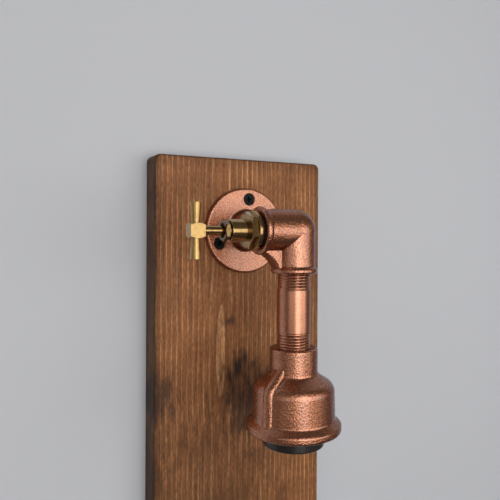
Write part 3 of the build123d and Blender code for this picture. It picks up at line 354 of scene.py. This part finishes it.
def threaded_pipe(start, end, top, low, ends):
    """A pipe along Z from start to end; its fittings' mouths are at top and low, and ends gives the
    lengths of thread that show."""
    lengths = [start]
    for mouth, inward, shown in ((top, 1, ends[0]), (low, -1, ends[1])):
        steps = int((shown + COVERED) / RING_STEP)
        lengths += [mouth - inward * COVERED + inward * RING_STEP * i for i in range(steps + 4)]
    lengths = sorted(lengths + [end])
    bm = bmesh.new()
    line = [bm.verts.new((BORE_R, 0, start))]
    line += [bm.verts.new((PIPE_R, 0, z)) for z in lengths]
    line += [bm.verts.new((BORE_R, 0, end))]
    edges = [bm.edges.new(pair) for pair in zip(line, line[1:] + line[:1])]
    bmesh.ops.spin(bm, geom=line + edges, cent=(0, 0, 0), axis=(0, 0, 1), angle=2 * pi, steps=72,
                   use_merge=True)
    bmesh.ops.remove_doubles(bm, verts=bm.verts, dist=1e-7)
    for vert in bm.verts:
        across = vert.co.xy.length
        if across < PIPE_R - 1e-5:
            continue
        z = vert.co.z
        from_top, from_low = z - top, low - z
        depth, shown = (from_top, ends[0]) if from_top < from_low else (from_low, ends[1])
        if depth > shown:
            continue
        turn = z / PITCH - atan2(vert.co.y, vert.co.x) / (2 * pi)
        tooth = 1 - abs(2 * (turn - floor(turn)) - 1)
        run_out = min(max((depth - shown + RUN_OUT) / RUN_OUT, 0.0), 1.0)
        buried = min(max(-depth / LEAD_IN, 0.0), 1.0)
        crest = THREAD_CREST + (PIPE_R - THREAD_CREST) * run_out
        root = THREAD_ROOT + (PIPE_R - THREAD_ROOT) * run_out
        reach = min(root + (crest - root) * FLAT_CREST * tooth, crest)
        reach += (min(reach, THREAD_HIDDEN) - reach) * buried
        vert.co.x *= reach / across
        vert.co.y *= reach / across
    return bm


nipple = threaded_pipe(-0.0797, -0.0255, -0.0672, -0.038, (0.003, 0.003))
laid = Matrix.Translation((0, 0, AXIS_HEIGHT)) @ Matrix.Rotation(radians(-90), 4, "X")
bmesh.ops.transform(nipple, verts=nipple.verts, matrix=laid)
new_piece("rear_nipple_pipe", nipple, pipe_copper, "rear_nipple")


# Corner elbow: a three-way malleable iron fitting with a rolled bead round each mouth.
# It is sand cast and copper painted like the flange, with webs across its throats.
dress(cast_copper, "corner_elbow")


# Drop nipple: the longer half-inch pipe that hangs from the elbow and carries the reducing socket.
# It is drawn steel with long threads showing at both ends, and painted copper like the other pipe.
SOCKET_TOP, PIPE_Y = 0.0221, -0.094
nipple = threaded_pipe(0.0096, 0.0817, SOCKET_TOP, 0.0692, (0.0102, 0.0111))
bmesh.ops.translate(nipple, vec=(0, PIPE_Y, 0), verts=nipple.verts)
new_piece("drop_nipple_pipe", nipple, pipe_copper, "drop_nipple")


# Tap headwork: a brass stop-tap top screwed into the elbow's left mouth on a fibre washer.
# Bonnet, gland nut and spindle are turned and milled from bar, so their skin has fine lathe rings.
# Lacquered brass is a soft yellow mirror, browned in patches of about 2 mm where it has tarnished.
def turned_brass(name, stretch, shine, bright, dull):
    """Lacquered brass with lathe lines, drawn 0.25 mm apart to show, across the most stretched axis."""
    material, tree, shader, where = new_finish(
        name, {"Metallic": 1.0, "Coat Weight": 0.7, "Coat Roughness": 0.12})
    lathe_place = node(tree, "ShaderNodeMapping", {"Vector": where, "Scale": stretch})["Vector"]
    lathe = node(tree, "ShaderNodeTexNoise", {"Vector": lathe_place, "Scale": 1.0, "Detail": 2.0})["Fac"]
    cloud = node(tree, "ShaderNodeTexNoise", {"Vector": where, "Scale": 1 / 0.002, "Detail": 4.0})["Fac"]
    tarnish = node(tree, "ShaderNodeMapRange", {"Value": cloud, "From Min": 0.46, "From Max": 0.76,
                                                "To Max": 0.5})["Result"]
    metal = node(tree, "ShaderNodeMixRGB", {"Fac": tarnish, "Color1": linear(bright),
                                            "Color2": linear(dull)})["Color"]
    gloss = node(tree, "ShaderNodeMath", {0: cloud, 1: 0.16, 2: shine}, operation="MULTIPLY_ADD")["Value"]
    bump = node(tree, "ShaderNodeBump", {"Height": lathe, "Distance": 0.00002, "Strength": 0.5})["Normal"]
    tree.links.new(metal, shader.inputs["Base Color"])
    tree.links.new(gloss, shader.inputs["Roughness"])
    tree.links.new(bump, shader.inputs["Normal"])
    return material


lathe_brass = turned_brass("tarnished_turned_brass", (4000, 60, 60), 0.07, "#B18F58", "#5F4827")
dress(lathe_brass, "tap_bonnet", "tap_spindle", "tap_jumper", "jumper_nut")
dull_brass = turned_brass("dull_milled_brass", (4000, 60, 60), 0.26, "#836539", "#4C391E")
dress(dull_brass, "gland_nut")


# Tap washers: a dark fibre ring under the bonnet, graphited packing round the spindle, and a
# rubber disc on the jumper. They are punched or moulded, and none of them shines.
# Fibre, packing and rubber are matte, with a mottle of about 1 mm from their strands and fillers.
for name, dark, pale, rough in (("bonnet_washer", "#1E1310", "#33201A", 0.75),
                                ("gland_packing", "#1B1B1C", "#38383A", 0.7),
                                ("jumper_washer", "#141414", "#232323", 0.8)):
    matte, tree, shader, where = new_finish("matte_" + name, {"Roughness": rough})
    mottle = node(tree, "ShaderNodeTexNoise", {"Vector": where, "Scale": 1 / 0.001, "Detail": 4.0})["Fac"]
    colour = node(tree, "ShaderNodeMixRGB", {"Fac": mottle, "Color1": linear(dark),
                                             "Color2": linear(pale)})["Color"]
    bump = node(tree, "ShaderNodeBump", {"Height": mottle, "Distance": 0.0001, "Strength": 0.6})["Normal"]
    tree.links.new(colour, shader.inputs["Base Color"])
    tree.links.new(bump, shader.inputs["Normal"])
    dress(matte, name)


# Tap handle: a brass T-bar, its arms turned about their own length and its square hub milled.
# A zinc-plated grub screw in the hub holds it on the spindle.
bar_brass = turned_brass("bright_turned_brass", (60, 60, 4000), 0.28, "#BC9859", "#8A6A36")
dress(bar_brass, "tap_handle")
dress(zinc, "handle_screw")


# Reducing socket: a bell-shaped malleable iron fitting that serves as the lamp's shade.
# It is cast and copper painted like the elbow, with a rounded rib down each of two sides, which
# bridges the corner between collar and bell.
dress(cast_copper, "reducing_socket")
RIB_WIDTH, RIB_ROUND, RIB_SPREAD = 0.0066, 0.0031, 1.2
# The rib's section: radius and depth below the socket's top, down its crest and back up inside the wall.
RIB_OUTER = ((0.0152, 0.0118), (0.0168, 0.0130), (0.0210, 0.0166), (0.0247, 0.0199), (0.0266, 0.0224),
             (0.0273, 0.0254), (0.0275, 0.0300), (0.0279, 0.0455))
RIB_INNER = ((0.0248, 0.0455), (0.0246, 0.0250), (0.0143, 0.0176), (0.0143, 0.0118))
for side, azimuth in (("left", -69), ("right", 111)):
    rib = bmesh.new()
    corners = [rib.verts.new((r, -RIB_WIDTH / 2, SOCKET_TOP - depth))
               for r, depth in RIB_OUTER + RIB_INNER]
    outline = rib.faces.new(corners)
    grown = bmesh.ops.extrude_face_region(rib, geom=[outline], use_keep_orig=True)["geom"]
    bmesh.ops.translate(rib, vec=(0, RIB_WIDTH, 0), verts=verts_of(grown))
    bmesh.ops.recalc_face_normals(rib, faces=rib.faces)
    crest = {(round(r, 6), round(SOCKET_TOP - depth, 6)) for r, depth in RIB_OUTER}
    rims = []
    for edge in rib.edges:
        ends = {(round(v.co.x, 6), round(v.co.z, 6)) for v in edge.verts}
        if len(ends) == 2 and ends <= crest:
            rims.append(edge)
    bmesh.ops.bevel(rib, geom=rims, offset=RIB_ROUND, affect="EDGES", segments=6, profile=0.5,
                    material=-1)
    bmesh.ops.scale(rib, vec=(1, RIB_SPREAD, 1), verts=rib.verts)
    bmesh.ops.transform(rib, verts=rib.verts, matrix=Matrix.Translation((0, PIPE_Y, 0))
                        @ Matrix.Rotation(radians(azimuth - 90), 4, "Z"))
    new_piece("reducing_socket_rib_" + side, rib, cast_copper)


# Lampholder fixings: a brass bush in the reducer's thread, a steel tube with its nut and washer,
# and the tag that earths the metal. The bush is turned, and the steel pieces are zinc plated.
dress(lathe_brass, "adapter_bush")
dress(zinc, "holder_tube", "holder_locknut", "holder_washer", "earth_tag")


# Lampholder shells: a domed cap and a skirt, screwed together round the insert.
# They are pressed from black phenolic, which has a dark brown cast and a soft moulded gloss.
phenolic, tree, shader, where = new_finish("black_phenolic", {"IOR": 1.6})
swirl = node(tree, "ShaderNodeTexNoise", {"Vector": where, "Scale": 1 / 0.006, "Detail": 4.0,
                                          "Distortion": 1.2})["Fac"]
colour = node(tree, "ShaderNodeMixRGB", {"Fac": swirl, "Color1": linear("#0F0D0C"),
                                         "Color2": linear("#241C18")})["Color"]
gloss = node(tree, "ShaderNodeMapRange", {"Value": swirl, "To Min": 0.24, "To Max": 0.42})["Result"]
tree.links.new(colour, shader.inputs["Base Color"])
tree.links.new(gloss, shader.inputs["Roughness"])
dress(phenolic, "holder_cap", "holder_skirt")


# Lampholder insert: pressed steatite, left unglazed, with two brass terminals and their screws.
# Steatite is a warm chalky white with grey specks about 0.5 mm across.
steatite, tree, shader, where = new_finish("pressed_steatite", {"Roughness": 0.7})
speck = node(tree, "ShaderNodeTexNoise", {"Vector": where, "Scale": 1 / 0.0005, "Detail": 3.0})["Fac"]
chalk = node(tree, "ShaderNodeMapRange", {"Value": speck, "From Min": 0.3, "From Max": 0.45})["Result"]
colour = node(tree, "ShaderNodeMixRGB", {"Fac": chalk, "Color1": linear("#B9B3A6"),
                                         "Color2": linear("#E3DED2")})["Color"]
bump = node(tree, "ShaderNodeBump", {"Height": speck, "Distance": 0.00005, "Strength": 0.5})["Normal"]
tree.links.new(colour, shader.inputs["Base Color"])
tree.links.new(bump, shader.inputs["Normal"])
dress(steatite, "holder_insert")
dress(lathe_brass, "holder_terminals", "centre_contact")
dress(zinc, "holder_terminal_screws")


# Thread sleeve: the lampholder's screw shell, rolled from thin brass strip with a round thread
# of 3.62 mm pitch, and nickel plated.
# Nickel plate is a warm silver with rolling lines round the shell, drawn 0.3 mm apart to show.
nickel, tree, shader, where = new_finish("nickel_plated_brass", {"Metallic": 1.0})
rolled_place = node(tree, "ShaderNodeMapping", {"Vector": where, "Scale": (80, 80, 3000)})["Vector"]
rolled = node(tree, "ShaderNodeTexNoise", {"Vector": rolled_place, "Scale": 1.0, "Detail": 2.0})["Fac"]
plate = node(tree, "ShaderNodeMixRGB", {"Fac": rolled, "Color1": linear("#B9B1A0"),
                                        "Color2": linear("#D8D1C2")})["Color"]
gloss = node(tree, "ShaderNodeMapRange", {"Value": rolled, "To Min": 0.18, "To Max": 0.34})["Result"]
tree.links.new(plate, shader.inputs["Base Color"])
tree.links.new(gloss, shader.inputs["Roughness"])

ROUND_PITCH, ROUND_HALF, SHEET = 0.00362, 0.0005, 0.0004
FADE_TOP, FADE_FOOT = 0.002, 0.001
SHELL_R, NECK_R = 0.013, 0.0102
SHELL_TOP, NECK_FOOT, THREAD_TOP, SHELL_FOOT = -0.0157, -0.0193, -0.0205, -0.0361
shell = bmesh.new()
steps = 64
profile = [(NECK_R, SHELL_TOP), (NECK_R, NECK_FOOT)]
profile += [(SHELL_R, THREAD_TOP + (SHELL_FOOT - THREAD_TOP) * i / steps) for i in range(steps + 1)]
line = [shell.verts.new((r, 0, z)) for r, z in profile]
edges = [shell.edges.new(pair) for pair in zip(line, line[1:])]
bmesh.ops.spin(shell, geom=line + edges, cent=(0, 0, 0), axis=(0, 0, 1), angle=2 * pi, steps=96,
               use_merge=True)
bmesh.ops.remove_doubles(shell, verts=shell.verts, dist=1e-7)
for vert in shell.verts:
    across = vert.co.xy.length
    if across > NECK_R + 1e-5:
        turn = vert.co.z / ROUND_PITCH - atan2(vert.co.y, vert.co.x) / (2 * pi)
        fade = min(1.0, (THREAD_TOP - vert.co.z) / FADE_TOP, (vert.co.z - SHELL_FOOT) / FADE_FOOT)
        reach = SHELL_R + ROUND_HALF * sin(2 * pi * turn) * fade
        vert.co.x *= reach / across
        vert.co.y *= reach / across
bmesh.ops.recalc_face_normals(shell, faces=shell.faces)
bmesh.ops.solidify(shell, geom=list(shell.faces), thickness=SHEET)
bmesh.ops.translate(shell, vec=(0, PIPE_Y, 0), verts=shell.verts)
new_piece("thread_sleeve_rolled", shell, nickel, "thread_sleeve")


# Stage: a plain pale wall behind the board, lit like it and even far off, and a pale floor well below.
# The wall is clear from behind, so that the board's back can be looked at too.
BACKGROUND = "#C9CACC"
WALL_Y, FLOOR_Z, STAGE_HALF = 0.0005, -1.5, 3.0


def stage_piece(name, bm, on_camera=True):
    """Turn a bmesh into a stage object with an empty material, and give that material's nodes."""
    mesh = bpy.data.meshes.new(name)
    bm.to_mesh(mesh)
    bm.free()
    made = bpy.data.objects.new(name, mesh)
    made.visible_camera = on_camera
    bpy.context.scene.collection.objects.link(made)
    material = bpy.data.materials.new("pale_" + name)
    material.use_nodes = True
    material.node_tree.nodes.remove(material.node_tree.nodes["Principled BSDF"])
    mesh.materials.append(material)
    return material.node_tree


def sees_background(tree):
    """1 for rays that show the pale background: the camera's, and those off metal or through glass."""
    path = node(tree, "ShaderNodeLightPath", {})
    seen = path["Is Camera Ray"]
    for kind in ("Is Glossy Ray", "Is Transmission Ray"):
        seen = node(tree, "ShaderNodeMath", {0: seen, 1: path[kind]}, operation="MAXIMUM")["Value"]
    return seen


wall_mesh = bmesh.new()
bmesh.ops.create_grid(wall_mesh, x_segments=1, y_segments=1, size=STAGE_HALF,
                      matrix=Matrix.Translation((0, WALL_Y, 0)) @ Matrix.Rotation(radians(90), 4, "X"))
tree = stage_piece("wall", wall_mesh)
behind = node(tree, "ShaderNodeNewGeometry", {})["Backfacing"]
front = node(tree, "ShaderNodeMath", {0: 1.0, 1: behind}, operation="SUBTRACT")["Value"]
shown = node(tree, "ShaderNodeMath", {0: sees_background(tree), 1: front}, operation="MULTIPLY")["Value"]
clear = node(tree, "ShaderNodeBsdfTransparent", {})["BSDF"]
matte = node(tree, "ShaderNodeBsdfDiffuse", {"Color": linear("#DEE1E6")})["BSDF"]
pale = node(tree, "ShaderNodeEmission", {"Color": linear(BACKGROUND)})["Emission"]
where = node(tree, "ShaderNodeTexCoord", {})["Object"]
away = node(tree, "ShaderNodeVectorMath", {0: where}, operation="LENGTH")["Value"]
far = node(tree, "ShaderNodeMapRange", {"Value": away, "From Min": 0.6, "From Max": 1.7},
           interpolation_type="SMOOTHSTEP")["Result"]
matte = node(tree, "ShaderNodeMixShader", {0: far, 1: matte, 2: pale})["Shader"]
both = node(tree, "ShaderNodeMixShader", {0: shown, 1: clear, 2: matte})["Shader"]
tree.links.new(both, tree.nodes["Material Output"].inputs["Surface"])

floor_mesh = bmesh.new()
bmesh.ops.create_grid(floor_mesh, x_segments=1, y_segments=1, size=STAGE_HALF,
                      matrix=Matrix.Translation((0, 0, FLOOR_Z)))
tree = stage_piece("floor", floor_mesh)
matte = node(tree, "ShaderNodeBsdfDiffuse", {"Color": linear("#D9D9DA")})["BSDF"]
pale = node(tree, "ShaderNodeEmission", {"Color": linear(BACKGROUND)})["Emission"]
both = node(tree, "ShaderNodeMixShader", {0: sees_background(tree), 1: matte, 2: pale})["Shader"]
tree.links.new(both, tree.nodes["Material Output"].inputs["Surface"])


# Light: a tall soft box in front, a weaker one at right, a dim one at left and a small one behind.
# A dim tent of warm grey cloth stands round the front, which the metal shows between the boxes.
# The camera sees through it to the pale background.
BOX_DISTANCE, LAMP_MIDDLE, TENT_R = 1.2, Vector((0, -0.06, 0.09)), 1.45
# Soft boxes: name, azimuth and rise in degrees, width and height in metres, power in watts.
BOXES = (("key", -4, 3, 0.68, 1.05, 6.6), ("side", 32, 0, 0.87, 0.64, 2.9),
         ("fill", -44, 0, 0.85, 0.6, 1.1), ("back", 180, 0, 0.3, 0.5, 1.9))
for name, azimuth, rise, width, height, power in BOXES:
    lamp = bpy.data.lights.new(name, "AREA")
    lamp.shape = "RECTANGLE"
    lamp.size, lamp.size_y = width, height
    lamp.energy = power
    holder = bpy.data.objects.new(name, lamp)
    aim = Vector((sin(radians(azimuth)), -cos(radians(azimuth)), sin(radians(rise))))
    holder.location = aim * BOX_DISTANCE + LAMP_MIDDLE
    holder.rotation_euler = aim.to_track_quat("Z", "Y").to_euler()
    holder.visible_camera = False
    bpy.context.scene.collection.objects.link(holder)


def room_shade(tree, aim):
    """The dim warm grey of the room in a direction: pale towards the wall, darker up and down."""
    aim = node(tree, "ShaderNodeSeparateXYZ", {"Vector": aim})
    toward_wall = node(tree, "ShaderNodeMapRange",
                       {"Value": aim["Y"], "From Min": -0.1, "From Max": 0.12},
                       interpolation_type="SMOOTHSTEP")["Result"]
    slope = node(tree, "ShaderNodeMath", {0: aim["Z"]}, operation="ABSOLUTE")["Value"]
    level = node(tree, "ShaderNodeMapRange", {"Value": slope, "From Min": 0.15, "From Max": 0.75,
                                              "To Min": 0.17, "To Max": 0.09})["Result"]
    level = node(tree, "ShaderNodeMath", {0: aim["Z"], 1: 0.04, 2: level},
                 operation="MULTIPLY_ADD")["Value"]
    wall_side = node(tree, "ShaderNodeMapRange", {"Value": aim["X"], "From Min": -0.9, "From Max": 0.5,
                                                  "To Min": 0.36, "To Max": 0.08})["Result"]
    room = node(tree, "ShaderNodeMixRGB", {"Fac": toward_wall, "Color1": level,
                                           "Color2": wall_side})["Color"]
    return node(tree, "ShaderNodeMixRGB", {"Fac": 1.0, "Color1": room, "Color2": linear("#FFF1E9")},
                blend_type="MULTIPLY")["Color"]


tent_mesh = bmesh.new()
bmesh.ops.create_uvsphere(tent_mesh, u_segments=48, v_segments=24, radius=TENT_R)
whole = list(tent_mesh.verts) + list(tent_mesh.edges) + list(tent_mesh.faces)
bmesh.ops.bisect_plane(tent_mesh, geom=whole, plane_co=(0, 0, 0), plane_no=(0, 1, 0), clear_outer=True)
tree = stage_piece("tent", tent_mesh, on_camera=False)
where = node(tree, "ShaderNodeTexCoord", {})["Object"]
aim = node(tree, "ShaderNodeVectorMath", {0: where}, operation="NORMALIZE")["Vector"]
cloth = node(tree, "ShaderNodeEmission", {"Color": room_shade(tree, aim)})["Emission"]
tree.links.new(cloth, tree.nodes["Material Output"].inputs["Surface"])

# The world lights like the same room, and shows the pale background.
world = bpy.data.worlds.new("room")
bpy.context.scene.world = world
world.use_nodes = True
tree = world.node_tree
room = room_shade(tree, node(tree, "ShaderNodeTexCoord", {})["Generated"])
shown = node(tree, "ShaderNodeMixRGB", {"Fac": sees_background(tree), "Color1": room,
                                        "Color2": linear(BACKGROUND)})["Color"]
tree.links.new(shown, tree.nodes["Background"].inputs["Color"])


# Camera: level with the elbow, 27 degrees round to the left of the board, and close up.
# Its place, lens and shift were fitted to the board's edges, the flange and the pipe.
YAW, ROLL = radians(26.79), radians(0.28)
EYE = (-0.1821, -0.3872, 0.0965)
SENSOR = 36
FRAME, FOCAL, CENTRE_X, CENTRE_Y = 500, 539.8, 246.5, 229.8  # pixels
right = Vector((cos(YAW), -sin(YAW), 0))
ahead = Vector((sin(YAW), cos(YAW), 0))
up = Vector((0, 0, 1))
right, up = right * cos(ROLL) + up * sin(ROLL), up * cos(ROLL) - right * sin(ROLL)
camera_data = bpy.data.cameras.new("camera")
camera_data.sensor_width = SENSOR
camera_data.lens = FOCAL * SENSOR / FRAME
camera_data.shift_x = (FRAME / 2 - CENTRE_X) / FRAME
camera_data.shift_y = (CENTRE_Y - FRAME / 2) / FRAME
camera_data.clip_start = 0.01
camera = bpy.data.objects.new("camera", camera_data)
turned = Matrix((right, up, -ahead)).transposed().to_4x4()
camera.matrix_world = Matrix.Translation(EYE) @ turned
bpy.context.scene.collection.objects.link(camera)
bpy.context.scene.camera = camera
bpy.context.scene.view_settings.view_transform = "Standard"
